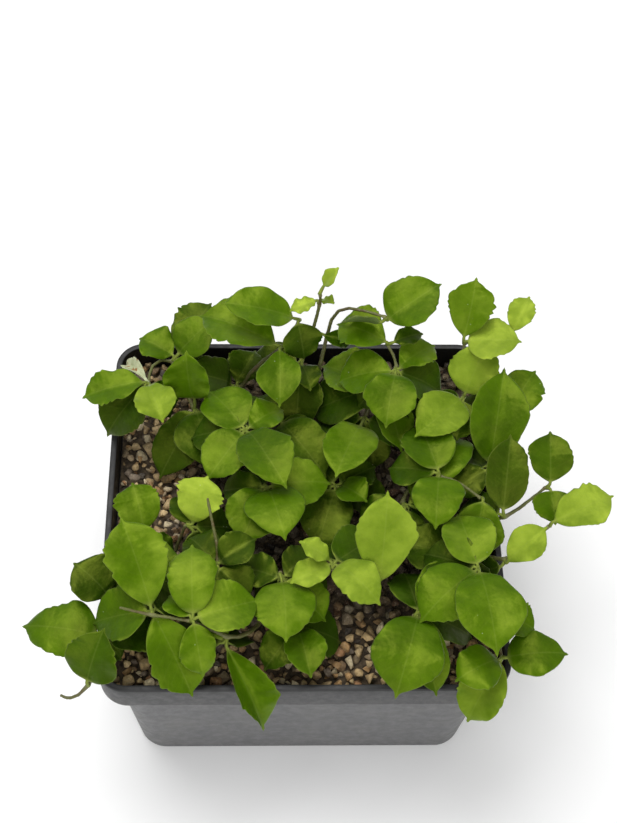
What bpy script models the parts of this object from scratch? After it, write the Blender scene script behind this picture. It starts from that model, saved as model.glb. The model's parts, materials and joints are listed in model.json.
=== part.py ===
"""A potted hoya: a square plastic nursery pot filled with coarse gravel, and eight climbing vines whose
leaves stand in pairs or small clusters at the nodes of the stems.

Sizes and places are in millimetres and degrees, and MM turns them into Blender's metres as each mesh is
written. The origin is the centre of the pot's underside, +Z is up and the front of the plant faces -Y.
A leaf's heading is measured in plan from +X towards +Y, and its lift is the slope of the line from its
node to its tip.
"""

import math
from collections import namedtuple

import bmesh
import bpy
from mathutils import Matrix, Vector, noise
from mathutils.bvhtree import BVHTree

MM = 0.001

# Pot
POT_HEIGHT = 69.2
RIM_WIDTH = 120.0
RIM_CORNER = 8.8
LIP_WIDTH = 2.0
BAND_HEIGHT = 12.4
BAND_DRAFT = 0.4
BAND_STEP = 3.8
WALL_TAPER = 3.5
SHOULDER_WIDTH = RIM_WIDTH - 2 * BAND_STEP
BASE_WIDTH = SHOULDER_WIDTH - 2 * WALL_TAPER
BASE_CORNER = 9.0
WALL = 1.5
FLOOR = 2.0
EDGE_ROUND = 0.5
CORNER_STEPS = 4
DRAIN_HOLE = 9.0
DRAIN_SIDES = 12
DRAIN_SPACING = 56.0

# Gravel
FIT_GAP = 0.3
GRAVEL_DROP = 11.0
GRAVEL_RELIEF = 1.6
GRAVEL_RINGS = (0.93, 0.76, 0.56, 0.36, 0.17)
GRAVEL_WAVES = ((17.0, 1.0, 3.7), (8.0, 0.5, 9.1))
SOCKET_DEPTH = 9.0
SOCKET_RISE = 3.0

# Stems
PLAN_RIM = 120.0
COLLAR = (-SOCKET_DEPTH, -SOCKET_DEPTH / 2, 1.0)
ARM_SHARE = 0.8
ROOT_RADIUS = 1.25
TIP_RADIUS = 0.6
STEM_SIDES = 6
STEM_STEP = 6.5

# Leaves
PETIOLE = 2.4
PETIOLE_RADIUS = 0.65
BLADE_THICKNESS = 0.9
FLANK_SHARE = 0.45
CUP_POWER = 1.5
SPUR = 0.07
SPUR_HALF_WIDTHS = (0.30, 0.12)
BASE_SHARE = 0.012
BASE_HALF_WIDTH = 0.35
END_THICKNESS = 0.6
OPPOSITE_ANGLE = 110.0
LEAF_GAP = 0.35
SEAT_GAP = 0.7
SEAT_TURNS = (0, 40, -40, 80, -80, 120, -120, 160)
PLAIN_STATIONS = (0.0, 0.14, 0.36, 0.58, 0.78, 0.92, 1.0)
TOOTHED_STATIONS = (0.0, 0.14, 0.36, 0.52, 0.60, 0.68, 0.76, 0.85, 0.93, 1.0)
NOTCH_STATIONS = (0.60, 0.76)
NOTCH_DEPTH = 0.13
SWING_STEP = 3.0
SWING_STEPS = 15
SHRINK_STEP = 4
SHRINK = (0.94, 0.92)

# The peak is where along its length a blade is broadest, and a lower taper gives it fuller shoulders. The
# arch is the rise of its middle as a share of its length, and the cup the rise of its margins as a share of
# its half-width.
Form = namedtuple("Form", "peak taper arch cup stations")
FORMS = {
    "plain": Form(0.54, 0.66, 0.07, 0.12, PLAIN_STATIONS),
    "round": Form(0.50, 0.50, 0.05, 0.10, PLAIN_STATIONS),
    "heart": Form(0.42, 0.50, 0.10, -0.10, PLAIN_STATIONS),
    "spoon": Form(0.62, 0.90, 0.06, 0.16, PLAIN_STATIONS),
    "domed": Form(0.52, 0.60, 0.12, -0.16, PLAIN_STATIONS),
    "toothed": Form(0.60, 0.80, 0.06, 0.10, TOOTHED_STATIONS),
    "folded": Form(0.55, 0.80, 0.10, 1.10, PLAIN_STATIONS),
}
TONES = {
    "deep": (0.050, 0.115, 0.022),
    "mature": (0.105, 0.215, 0.022),
    "young": (0.300, 0.420, 0.065),
}

Leaf = namedtuple("Leaf", "form tone heading lift length width roll stalk", defaults=(0, PETIOLE))
Stop = namedtuple("Stop", "x y above leaves", defaults=((),))

# The lower, shaded leaves that fill the gaps in plan between the others of a node, in the order they are
# tried. SHADE_APART is the least angle in plan between two leaves of a node. Their tips stay within
# SHADE_REACH of the pot's middle lines, and only nodes less than SHADE_CEILING over the rim bear them.
SHADE_LEAVES = (
    Leaf("round", "deep", 0, -8, 20, 17),
    Leaf("round", "deep", 0, -22, 19, 16),
    Leaf("round", "deep", 0, -36, 17, 14),
    Leaf("round", "deep", 0, -50, 15, 13),
    Leaf("plain", "deep", 0, -18, 14, 12),
    Leaf("plain", "deep", 0, -34, 13, 11),
    Leaf("plain", "deep", 0, -52, 12, 10),
)
SHADE_HEADINGS = range(7, 360, 12)
SHADE_APART = 26.0
SHADE_REACH = 48.0
SHADE_CEILING = 22.0
MOST_LEAVES = 6
MOST_SHADE_LEAVES = 60

# Each vine is its root's place in plan and its arms. The first arm rises from the root, and each later arm
# leaves from the first arm's first stop. Places in plan are for a rim of PLAN_RIM and spread with the rim,
# and a stop's height is over the rim.
VINES = {
    "back": ((0, 35), (
        (
            Stop(1, 39, -4),
            Stop(0, 48, 9, (
                Leaf("plain", "deep", -92, -28, 24, 15),
                Leaf("plain", "deep", -38, -34, 15, 12),
            )),
            Stop(3, 47, 25, (Leaf("folded", "mature", -8, -24, 11, 6, 40),)),
            Stop(5, 49, 37, (
                Leaf("plain", "young", -163, -12, 10, 6),
                Leaf("round", "young", -40, 25, 6, 4),
            )),
            Stop(5, 48, 43, (Leaf("plain", "young", 30, 50, 9, 5),)),
        ),
        (
            Stop(6, 44, 13),
            Stop(9, 51, 26),
            Stop(14, 49, 35),
            Stop(25, 45, 36, (
                Leaf("round", "mature", 30, 16, 21, 17),
                Leaf("plain", "mature", 164, -17, 14, 6, 65),
                Leaf("plain", "deep", -176, 6, 13, 5, 60),
            )),
        ),
        (
            Stop(-10, 37, -1),
            Stop(-19, 39, 6, (
                Leaf("round", "young", -145, -4, 12, 10),
                Leaf("round", "deep", 176, 20, 17, 16),
                Leaf("plain", "deep", 62, 8, 14, 12),
            )),
            Stop(-12, 42, 17),
            Stop(-6, 43, 23, (
                Leaf("toothed", "mature", 158, 3, 27, 18),
                Leaf("spoon", "mature", -90, -6, 21, 13),
            )),
            Stop(-1, 49, 29, (
                Leaf("plain", "mature", 175, 12, 24, 15),
                Leaf("plain", "deep", -72, -58, 14, 13),
            )),
        ),
    )),
    "left_back": ((-24, 22), (
        (
            Stop(-26, 24, -5),
            Stop(-34, 32, 4, (
                Leaf("round", "mature", 104, 44, 24, 17, 0, 7),
                Leaf("round", "deep", -76, -4, 22, 18),
                Leaf("round", "deep", -120, -24, 25, 16),
            )),
            Stop(-41, 46, 10, (
                Leaf("toothed", "deep", 60, 8, 22, 15),
                Leaf("plain", "mature", 150, 2, 14, 13),
                Leaf("round", "mature", 40, 22, 17, 15),
            )),
            Stop(-47, 43, 12),
            Stop(-48, 36, 12, (
                Leaf("toothed", "mature", -167, -8, 21, 13),
                Leaf("spoon", "young", -71, 2, 17, 13),
                Leaf("plain", "deep", -136, -32, 22, 18),
                Leaf("folded", "young", 125, -30, 16, 5),
            )),
        ),
        (
            Stop(-14, 21, -1),
            Stop(-9, 24, 8, (Leaf("round", "deep", -52, -9, 24, 19),)),
            Stop(-18, 17, 14, (
                Leaf("plain", "mature", -62, 8, 27, 16),
                Leaf("plain", "mature", 33, -8, 14, 11),
            )),
        ),
        (
            Stop(-17, 8, -2),
            Stop(-10, -1, 10, (
                Leaf("heart", "mature", -75, 10, 22, 18),
                Leaf("plain", "mature", 174, -22, 15, 12),
                Leaf("plain", "deep", 128, -32, 17, 14),
                Leaf("round", "deep", -150, -38, 17, 14),
            )),
        ),
    )),
    "right_back": ((22, 23), (
        (
            Stop(22, 26, -3),
            Stop(20, 29, 5, (
                Leaf("round", "mature", -111, 14, 29, 17, 0, 7),
                Leaf("plain", "deep", -24, -20, 17, 13),
                Leaf("plain", "deep", 172, -24, 17, 13),
            )),
            Stop(25, 36, 11, (
                Leaf("spoon", "mature", -74, 0, 24, 12),
                Leaf("round", "deep", -172, -27, 25, 18),
            )),
            Stop(29, 37, 21, (
                Leaf("plain", "mature", 182, -20, 19, 16),
                Leaf("plain", "deep", -14, -28, 18, 14),
                Leaf("toothed", "mature", 34, 0, 15, 12),
                Leaf("plain", "deep", -48, -40, 18, 13),
            )),
            Stop(26, 42, 26, (
                Leaf("toothed", "mature", 154, 10, 18, 16),
                Leaf("plain", "deep", 18, 0, 11, 7),
            )),
        ),
        (
            Stop(34, 22, 0),
            Stop(44, 23, 7, (
                Leaf("heart", "mature", -98, 11, 22, 17),
                Leaf("plain", "deep", -148, -22, 16, 11),
            )),
            Stop(50, 30, 15, (
                Leaf("round", "young", 62, 32, 19, 16),
                Leaf("round", "young", -137, 2, 22, 16),
            )),
            Stop(50, 43, 25, (
                Leaf("toothed", "mature", 76, 36, 20, 14),
                Leaf("round", "young", -8, 12, 18, 16),
            )),
            Stop(64, 44, 26, (Leaf("toothed", "young", 62, 18, 14, 9),)),
        ),
    )),
    "right": ((42, -4), (
        (
            Stop(43, -3, -3),
            Stop(50, 4, 5),
            Stop(57, 7, 9, (
                Leaf("plain", "mature", 80, 24, 31, 18),
                Leaf("round", "deep", 132, -28, 15, 11),
            )),
            Stop(62, 23, 8, (
                Leaf("toothed", "mature", 56, 10, 21, 14),
                Leaf("folded", "young", -66, -12, 9, 5),
            )),
        ),
        (
            Stop(52, -8, 5),
            Stop(60, -10, 11, (Leaf("plain", "deep", 83, 27, 24, 14),)),
            Stop(68, -5, 13),
            Stop(73, 0, 11, (
                Leaf("plain", "deep", 88, 20, 17, 14),
                Leaf("round", "mature", -86, -10, 12, 13),
            )),
        ),
        (
            Stop(50, -16, 2),
            Stop(59, -23, 9, (
                Leaf("spoon", "young", 35, 26, 17, 11),
                Leaf("plain", "deep", -176, -40, 12, 10),
            )),
            Stop(67, -18, 10),
            Stop(73, -13, 11, (Leaf("toothed", "young", 21, 10, 21, 14),)),
        ),
        (
            Stop(36, -6, 1),
            Stop(30, -3, 7, (
                Leaf("plain", "deep", -84, -22, 15, 11),
                Leaf("plain", "deep", -170, -26, 16, 13),
            )),
            Stop(34, 1, 12),
            Stop(41, 2, 14, (
                Leaf("heart", "mature", -97, 3, 20, 16),
                Leaf("plain", "deep", 160, -22, 17, 14),
            )),
            Stop(47, -1, 15),
            Stop(53, -5, 13, (Leaf("plain", "mature", -104, -26, 19, 16),)),
        ),
    )),
    "front_right": ((40, -28), (
        (
            Stop(41, -27, -4),
            Stop(49, -22, 6, (
                Leaf("plain", "deep", 163, -6, 20, 17),
                Leaf("toothed", "mature", -36, -2, 17, 13),
                Leaf("round", "deep", -104, -30, 17, 14),
            )),
            Stop(50, -30, 15, (
                Leaf("heart", "mature", -84, 2, 28, 19),
                Leaf("domed", "mature", -138, -6, 24, 18),
            )),
            Stop(55, -40, 9, (Leaf("plain", "mature", -24, -10, 12, 11),)),
            Stop(56, -53, 6, (
                Leaf("heart", "mature", 3, 3, 19, 14),
                Leaf("domed", "mature", -152, 2, 16, 14),
                Leaf("plain", "young", -124, -38, 22, 14),
            )),
        ),
        (
            Stop(34, -34, 1),
            Stop(31, -42, 11, (
                Leaf("domed", "mature", -116, -12, 27, 20),
                Leaf("plain", "deep", 100, -26, 19, 13),
                Leaf("plain", "mature", -78, -22, 24, 12),
                Leaf("plain", "deep", -12, -30, 20, 14),
            )),
        ),
    )),
    "centre": ((11, -17), (
        (
            Stop(10, -20, -4),
            Stop(8, -29, 15, (
                Leaf("heart", "young", -47, 1, 19, 13),
                Leaf("spoon", "young", 157, 20, 12, 7),
                Leaf("round", "mature", -108, -46, 17, 12),
                Leaf("round", "deep", 70, -44, 19, 14),
            )),
        ),
        (
            Stop(16, -27, 4),
            Stop(21, -34, 10, (Leaf("toothed", "young", 84, 35, 28, 17),)),
        ),
        (
            Stop(14, -7, -6),
            Stop(10, 6, 1, (
                Leaf("round", "deep", -107, -9, 21, 17),
                Leaf("plain", "mature", -42, 12, 13, 11),
                Leaf("plain", "deep", 28, -2, 14, 12),
            )),
        ),
    )),
    "front_left": ((-4, -23), (
        (
            Stop(-4, -25, -4),
            Stop(-7, -28, 11, (
                Leaf("heart", "mature", -87, 7, 22, 18),
                Leaf("plain", "deep", 155, -24, 17, 12),
                Leaf("round", "mature", -40, -22, 18, 14),
                Leaf("plain", "deep", -4, -36, 18, 13),
            )),
        ),
        (
            Stop(-2, -33, -2),
            Stop(-4, -42, 5, (
                Leaf("plain", "mature", -77, 2, 17, 13),
                Leaf("plain", "deep", -128, -14, 16, 12),
                Leaf("round", "deep", -4, -38, 17, 15),
            )),
        ),
        (
            Stop(-11, -37, 1),
            Stop(-16, -46, 9),
            Stop(-22, -48, 11, (
                Leaf("folded", "mature", -60, -41, 29, 11),
                Leaf("plain", "mature", 102, -17, 15, 11),
                Leaf("plain", "deep", 60, -45, 13, 12),
            )),
            Stop(-32, -45, 15, (
                Leaf("domed", "mature", 92, 5, 22, 15),
                Leaf("plain", "mature", -78, -34, 17, 11),
                Leaf("plain", "deep", 158, -40, 13, 11),
            )),
            Stop(-43, -44, 17, (
                Leaf("toothed", "mature", 111, 21, 28, 18),
                Leaf("toothed", "mature", -61, -28, 27, 16),
                Leaf("round", "mature", 182, -24, 19, 18),
            )),
            Stop(-52, -43, 20),
        ),
    )),
    "left": ((-41, -20), (
        (
            Stop(-42, -21, -5),
            Stop(-56, -36, 7, (
                Leaf("round", "deep", 140, 14, 15, 15),
                Leaf("toothed", "deep", 101, -12, 18, 9),
            )),
            Stop(-56, -47, 9, (
                Leaf("heart", "mature", 169, -9, 24, 17),
                Leaf("plain", "deep", -38, -45, 10, 8),
            )),
            Stop(-61, -60, 5, (Leaf("round", "deep", 64, 44, 18, 16),)),
            Stop(-66, -63, 3),
            Stop(-69, -62, 3),
        ),
        (
            Stop(-46, -17, -1),
            Stop(-47, -13, 7, (
                Leaf("toothed", "mature", 106, 14, 17, 14),
                Leaf("plain", "deep", -20, -36, 11, 8),
            )),
        ),
        (
            Stop(-38, -15, 1),
            Stop(-35, -12, 10, (
                Leaf("toothed", "young", 70, 24, 16, 15),
                Leaf("round", "deep", -60, -40, 16, 13),
                Leaf("plain", "deep", 10, -26, 15, 12),
            )),
        ),
        (
            Stop(-31, -25, 1),
            Stop(-25, -25, 12, (
                Leaf("plain", "deep", 53, -15, 15, 13),
                Leaf("plain", "young", -77, -40, 15, 9),
                Leaf("plain", "deep", 176, -46, 12, 10),
            )),
            Stop(-28, -11, 25),
        ),
    )),
}


def clear_scene():
    for old in list(bpy.data.objects):
        bpy.data.objects.remove(old, do_unlink=True)


def material(name, colour, roughness, metallic=0.0):
    made = bpy.data.materials.new(name)
    made.use_nodes = True
    shader = made.node_tree.nodes["Principled BSDF"]
    shader.inputs["Base Color"].default_value = (*colour, 1.0)
    shader.inputs["Roughness"].default_value = roughness
    shader.inputs["Metallic"].default_value = metallic
    return made


def add_object(name, points, faces, surface):
    """A mesh object from points in millimetres, with its origin at the middle of its own box."""
    low = Vector(min(p[i] for p in points) for i in range(3))
    high = Vector(max(p[i] for p in points) for i in range(3))
    middle = (low + high) / 2
    mesh = bpy.data.meshes.new(name)
    mesh.from_pydata([(p - middle) * MM for p in points], [], faces)
    mesh.materials.append(surface)
    mesh.shade_smooth()
    mesh.set_sharp_from_angle(angle=math.radians(40))
    made = bpy.data.objects.new(name, mesh)
    made.location = middle * MM
    bpy.context.scene.collection.objects.link(made)
    return made


def hide_tool(obj):
    """Keeps an object that only cuts or joins out of the finished part."""
    obj.hide_render = True
    obj.display_type = "WIRE"


def boolean(target, tool, operation):
    hide_tool(tool)
    step = target.modifiers.new(f"{operation.lower()}_{tool.name}", "BOOLEAN")
    step.operation = operation
    step.object = tool
    step.use_self = operation == "UNION"


def loft(rings):
    """One closed skin over a row of rings of equal count, each turning anticlockwise about the way ahead."""
    count = len(rings[0])
    points = [point for ring in rings for point in ring]
    faces = [tuple(reversed(range(count)))]
    for row in range(len(rings) - 1):
        for i in range(count):
            j = (i + 1) % count
            a, b = row * count, (row + 1) * count
            faces.append((a + i, a + j, b + j, b + i))
    last = (len(rings) - 1) * count
    faces.append(tuple(range(last, last + count)))
    return points, faces


def triangles_of(faces):
    return [(f[0], f[k], f[k + 1]) for f in faces for k in range(1, len(f) - 1)]


def tree_of(points, faces):
    return BVHTree.FromPolygons(points, triangles_of(faces), all_triangles=True)


def in_plan(x, y):
    """A vine's place in plan, spread with the width of the rim."""
    return x * RIM_WIDTH / PLAN_RIM, y * RIM_WIDTH / PLAN_RIM


def place_of(stop):
    return Vector((*in_plan(stop.x, stop.y), POT_HEIGHT + stop.above))


# ---------------------------------------------------------------- pot and gravel


def square_ring(width, corner, height):
    """A square with round corners at one height, anticlockwise from the right-hand side."""
    reach = width / 2 - corner
    ring = []
    for turn in range(4):
        quarter = math.pi / 2 * turn
        centre = Vector((reach, reach)) @ Matrix.Rotation(-quarter, 2)
        for step in range(CORNER_STEPS + 1):
            angle = quarter + math.pi / 2 * step / CORNER_STEPS
            ring.append(Vector((
                centre.x + corner * math.cos(angle),
                centre.y + corner * math.sin(angle),
                height,
            )))
    return ring


def wall_width(width, height):
    """The width of the tapering wall at a height, for a wall that is this wide at the shoulder."""
    shoulder = POT_HEIGHT - BAND_HEIGHT
    return width - (SHOULDER_WIDTH - BASE_WIDTH) * (1 - height / shoulder)


def pot_rings():
    shoulder = POT_HEIGHT - BAND_HEIGHT
    band_low = RIM_WIDTH - BAND_DRAFT
    inner = SHOULDER_WIDTH - 2 * WALL
    mouth = RIM_WIDTH - 2 * LIP_WIDTH
    ledge = shoulder + WALL
    inner_corner = BASE_CORNER - WALL
    return [
        square_ring(BASE_WIDTH - 2 * EDGE_ROUND, BASE_CORNER, 0),
        square_ring(BASE_WIDTH, BASE_CORNER, EDGE_ROUND),
        square_ring(SHOULDER_WIDTH, BASE_CORNER, shoulder),
        square_ring(band_low, RIM_CORNER, shoulder),
        square_ring(RIM_WIDTH, RIM_CORNER, POT_HEIGHT - EDGE_ROUND),
        square_ring(RIM_WIDTH - 2 * EDGE_ROUND, RIM_CORNER - EDGE_ROUND, POT_HEIGHT),
        square_ring(mouth, RIM_CORNER - LIP_WIDTH, POT_HEIGHT),
        square_ring(mouth - BAND_DRAFT, RIM_CORNER - LIP_WIDTH, ledge),
        square_ring(inner, inner_corner, ledge),
        square_ring(wall_width(inner, FLOOR), inner_corner, FLOOR),
    ]


def build_pot(surface):
    points, faces = loft(pot_rings())
    pot = add_object("pot", points, faces, surface)
    mesh = bmesh.new()
    for x in (-0.5, 0.5):
        for y in (-0.5, 0.5):
            place = Matrix.Translation((x * DRAIN_SPACING * MM, y * DRAIN_SPACING * MM, FLOOR / 2 * MM))
            bmesh.ops.create_cone(
                mesh, cap_ends=True, segments=DRAIN_SIDES, radius1=DRAIN_HOLE / 2 * MM,
                radius2=DRAIN_HOLE / 2 * MM, depth=3 * FLOOR * MM, matrix=place,
            )
    data = bpy.data.meshes.new("drain_holes")
    mesh.to_mesh(data)
    mesh.free()
    holes = bpy.data.objects.new("drain_holes", data)
    bpy.context.scene.collection.objects.link(holes)
    boolean(pot, holes, "DIFFERENCE")
    return tree_of(points, faces)


def gravel_level(x, y):
    """The height of the uneven gravel surface at a place in plan."""
    bump = sum(share * noise.noise(Vector((x / wave, y / wave, cut))) for wave, share, cut in GRAVEL_WAVES)
    return POT_HEIGHT - GRAVEL_DROP + GRAVEL_RELIEF * bump


def gravel_rings():
    ledge = POT_HEIGHT - BAND_HEIGHT + WALL + FIT_GAP
    inner = SHOULDER_WIDTH - 2 * WALL - 2 * FIT_GAP
    mouth = RIM_WIDTH - 2 * LIP_WIDTH - BAND_DRAFT - 2 * FIT_GAP
    inner_corner = BASE_CORNER - WALL - FIT_GAP
    mouth_corner = RIM_CORNER - LIP_WIDTH - FIT_GAP
    floor = FLOOR + FIT_GAP
    rings = [
        square_ring(wall_width(inner, floor), inner_corner, floor),
        square_ring(inner, inner_corner, ledge),
    ]
    for share in (1.0, *GRAVEL_RINGS):
        ring = square_ring(mouth * share, mouth_corner * share, 0)
        for point in ring:
            point.z = max(gravel_level(point.x, point.y), ledge + FIT_GAP)
        rings.append(ring)
    return rings


def build_gravel(surface, sockets):
    points, faces = loft(gravel_rings())
    gravel = add_object("gravel", points, faces, surface)
    for number, rings in enumerate(sockets, 1):
        socket = add_object(f"socket_{number}", *loft(rings), surface)
        boolean(gravel, socket, "DIFFERENCE")
    return tree_of(points, faces)


# ---------------------------------------------------------------- stems


def circle(radius, side, other, count=STEM_SIDES):
    turns = (2 * math.pi * i / count for i in range(count))
    return [side * (radius * math.cos(a)) + other * (radius * math.sin(a)) for a in turns]


def spline(knots, t):
    """A point on the smooth curve through the knots, where t runs from 0 to the last knot's number."""
    i = min(int(t), len(knots) - 2)
    before = knots[i - 1] if i else knots[0] * 2 - knots[1]
    after = knots[i + 2] if i + 2 < len(knots) else knots[-1] * 2 - knots[-2]
    u = t - i
    a, b, c, d = before, knots[i], knots[i + 1], after
    return 0.5 * (2 * b + (c - a) * u + (2 * a - 5 * b + 4 * c - d) * u**2 + (3 * b - a - 3 * c + d) * u**3)


def arm_path(knots):
    """Places about one step apart along an arm, and for each knot its number in that row."""
    path = [knots[0]]
    numbers = [0]
    for i in range(len(knots) - 1):
        steps = max(2, round((knots[i + 1] - knots[i]).length / STEM_STEP))
        path += [spline(knots, i + step / steps) for step in range(1, steps + 1)]
        numbers.append(len(path) - 1)
    return path, numbers


def ahead_of(path, i):
    return (path[min(i + 1, len(path) - 1)] - path[max(i - 1, 0)]).normalized()


def tube(path, first, last, count=STEM_SIDES):
    """Rings of a tapering tube, each turned from the one before as little as it can be."""
    ahead = ahead_of(path, 0)
    side = ahead.orthogonal().normalized()
    rings = []
    for i, place in enumerate(path):
        ahead = ahead_of(path, i)
        side = (side - ahead * side.dot(ahead)).normalized()
        radius = first + (last - first) * i / (len(path) - 1)
        rings.append([place + p for p in circle(radius, side, ahead.cross(side), count)])
    return rings


def socket_rings(path):
    """The way that a stem takes through the gravel, a fit gap wider than the stem all round."""
    rings = tube(path, ROOT_RADIUS + FIT_GAP, TIP_RADIUS + FIT_GAP)
    top = path[0].z + SOCKET_DEPTH + SOCKET_RISE
    count = next(i for i, place in enumerate(path) if place.z > top) + 1
    foot = [point - Vector((0, 0, FIT_GAP)) for point in rings[0]]
    return [foot] + rings[1:count]


class Node:
    """A place on a stem where leaves stand: where it is, the stem's way ahead and its radius."""

    def __init__(self, name, leaves, place, ahead, radius):
        self.name = name
        self.leaves = leaves
        self.place = place
        self.ahead = ahead
        self.radius = radius

    def seats(self):
        """Where the pad that the leaves share can sit beside the stem, from its upper side round to below."""
        upper = Vector((0, 0, 1)) - self.ahead * self.ahead.z
        if upper.length < 0.2:
            upper = self.ahead.orthogonal()
        reach = self.radius + SEAT_GAP + PETIOLE_RADIUS
        for turn in SEAT_TURNS:
            away = Matrix.Rotation(math.radians(turn), 3, self.ahead) @ upper.normalized()
            yield self.place + away * reach


def build_vine(name, root, arms, surface):
    """The stem of one vine, as one branching body. It returns its trees, its leaf nodes and its socket."""
    foot = in_plan(*root)
    level = gravel_level(*foot)
    collar = [Vector((*foot, level + above)) for above in COLLAR]
    fork = place_of(arms[0][0])
    trees = []
    nodes = []
    stem = None
    socket = None
    for number, stops in enumerate(arms, 1):
        start = collar if number == 1 else [fork]
        knots = start + [place_of(stop) for stop in stops]
        path, numbers = arm_path(knots)
        first = ROOT_RADIUS * (1 if number == 1 else ARM_SHARE)
        points, faces = loft(tube(path, first, TIP_RADIUS))
        trees.append(tree_of(points, faces))
        arm = add_object(f"stem_{name}" if number == 1 else f"arm_{name}_{number}", points, faces, surface)
        if stem:
            boolean(stem, arm, "UNION")
        stem = stem or arm
        socket = socket or socket_rings(path)
        for stop, i in zip(stops, numbers[len(start):]):
            if stop.leaves:
                radius = first + (TIP_RADIUS - first) * i / (len(path) - 1)
                label = f"leaves_{name}_{len(nodes) + 1}"
                nodes.append(Node(label, stop.leaves, path[i], ahead_of(path, i), radius))
    return trees, nodes, socket


# ---------------------------------------------------------------- leaves


def heading_vector(each):
    turn = math.radians(each.heading)
    return Vector((math.cos(turn), math.sin(turn), 0))


def leaf_axes(each):
    """The leaf's own axes: along it, across it to its left, and out of its upper face."""
    rise = math.radians(each.lift)
    flat = heading_vector(each)
    along = flat * math.cos(rise) + Vector((0, 0, 1)) * math.sin(rise)
    across = Vector((0, 0, 1)).cross(flat)
    turn = Matrix.Rotation(math.radians(each.roll), 3, along)
    return along, turn @ across, turn @ along.cross(across)


def half_width(each, t):
    """Half of the blade's width at a share t of its length, with the narrow spur at its tip."""
    form = FORMS[each.form]
    blade = 1 - SPUR
    if t >= blade:
        return max(SPUR_HALF_WIDTHS[1], SPUR_HALF_WIDTHS[0] * (1 - t) / SPUR)
    s = max(t / blade, BASE_SHARE)
    body = (s / form.peak) * ((1 - s) / (1 - form.peak)) ** ((1 - form.peak) / form.peak)
    return max(BASE_HALF_WIDTH, each.width / 2 * body**form.taper)


def leaf_rings(each, seat, swell=0.0):
    """Rings from the leaf's node to its tip. Swell grows the blade all round, for testing its clearance."""
    form = FORMS[each.form]
    along, across, out = leaf_axes(each)
    reach = each.length - each.stalk
    rings = [petiole_ring(seat, across, out, swell)]
    for t in form.stations:
        half = half_width(each, t)
        if form.stations is TOOTHED_STATIONS and t in NOTCH_STATIONS:
            half *= 1 - NOTCH_DEPTH
        half += swell
        bow = each.length * form.arch * 4 * t * (1 - t)
        middle = seat + along * (each.stalk + reach * t) + out * bow
        thick = (BLADE_THICKNESS if 0 < t < 1 else END_THICKNESS) / 2 + swell
        lift = half * form.cup
        flank = lift * FLANK_SHARE**CUP_POWER
        rings.append([
            middle + across * half + out * lift,
            middle + across * half * FLANK_SHARE + out * (flank + thick),
            middle - across * half * FLANK_SHARE + out * (flank + thick),
            middle - across * half + out * lift,
            middle - across * half * FLANK_SHARE + out * (flank - thick),
            middle + across * half * FLANK_SHARE + out * (flank - thick),
        ])
    return rings


def petiole_ring(seat, across, out, swell=0.0):
    """The six-sided section of the leaf stalk, in the order that the blade's sections take."""
    radius = PETIOLE_RADIUS + swell
    turns = (math.pi / 3 * i for i in range(6))
    return [seat + across * (radius * math.cos(a)) + out * (radius * math.sin(a)) for a in turns]


def further_apart(one, other, angle):
    """Whether two leaves of a node leave it more than this angle apart in plan."""
    return heading_vector(one).dot(heading_vector(other)) < math.cos(math.radians(angle))


def pair_rings(one, other, seat):
    """Two opposite leaves as one row of rings, from the tip of the first to the tip of the second."""
    first = leaf_rings(one, seat)[:0:-1]
    second = leaf_rings(other, seat)[1:]
    mirrored = [[ring[3], ring[2], ring[1], ring[0], ring[5], ring[4]] for ring in first]
    along = (leaf_axes(other)[0] - leaf_axes(one)[0]).normalized()
    across = leaf_axes(other)[1] - leaf_axes(one)[1]
    across = (across - along * across.dot(along)).normalized()
    return mirrored + [petiole_ring(seat, across, along.cross(across))] + second


def attempts(each):
    """The planned leaf, then ever larger departures from it until one of them hangs clear."""
    yield each
    for step in range(1, SWING_STEPS + 1):
        swing = SWING_STEP * step
        for lift, roll, turn in (
            (0, 1, 0), (0, -1, 0), (1, 0, 0), (-1, 0, 0), (0, 0, 1), (0, 0, -1),
            (1, 1, 0), (1, -1, 0), (-1, 1, 0), (-1, -1, 0),
            (1, 0, 1), (1, 0, -1), (-1, 0, 1), (-1, 0, -1),
        ):
            yield each._replace(
                lift=each.lift + swing * lift,
                roll=each.roll + swing * roll,
                heading=each.heading + swing * turn,
            )
        if step % SHRINK_STEP == 0:
            each = each._replace(length=each.length * SHRINK[0], width=each.width * SHRINK[1])


def touches(each, seat, obstacles):
    test = tree_of(*loft(leaf_rings(each, seat, LEAF_GAP)))
    return any(test.overlap(tree) for tree in obstacles)


def settle(node, obstacles):
    """The node's seat and its leaves, each moved just far enough to clear all that is already in place."""
    seat = min(node.seats(), key=lambda spot: sum(touches(each, spot, obstacles) for each in node.leaves))
    settled = []
    for each in node.leaves:
        found = next((a for a in attempts(each) if not touches(a, seat, obstacles)), None)
        if found is None:
            print("no clear place:", node.name, each)
            found = each
        settled.append(found)
    return seat, settled


def blade_tree(each, seat):
    """The blade without its stalk, since the stalks of one node share its pad."""
    return tree_of(*loft(leaf_rings(each, seat)[1:]))


def tip_within(each, seat, reach):
    tip = seat + leaf_axes(each)[0] * each.length
    return max(abs(tip.x), abs(tip.y)) < reach * RIM_WIDTH / PLAN_RIM


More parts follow.
